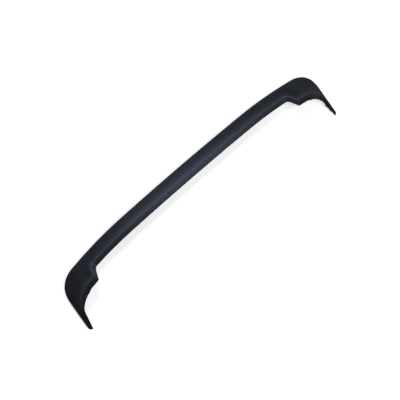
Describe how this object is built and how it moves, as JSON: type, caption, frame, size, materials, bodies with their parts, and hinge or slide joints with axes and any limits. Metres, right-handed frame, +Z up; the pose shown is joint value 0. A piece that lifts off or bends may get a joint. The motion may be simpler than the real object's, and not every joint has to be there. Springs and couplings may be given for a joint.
{
  "type": "front spoiler",
  "caption": "One-piece moulded chin spoiler for a car: a raked band with a level mounting flange, raised corner ears and wings that sweep back to tapered tails.",
  "frame": {"origin": "middle of the footprint, on the ground plane of the lip", "axes": "+X across the car, -Y forward, +Z up"},
  "size_m": [1.5786, 0.3542, 0.0912],
  "materials": {
    "black_plastic": "satin black moulded plastic with a fine grain"
  },
  "bodies": {
    "root": {"front_spoiler": "black_plastic"}
  },
  "joints": []
}
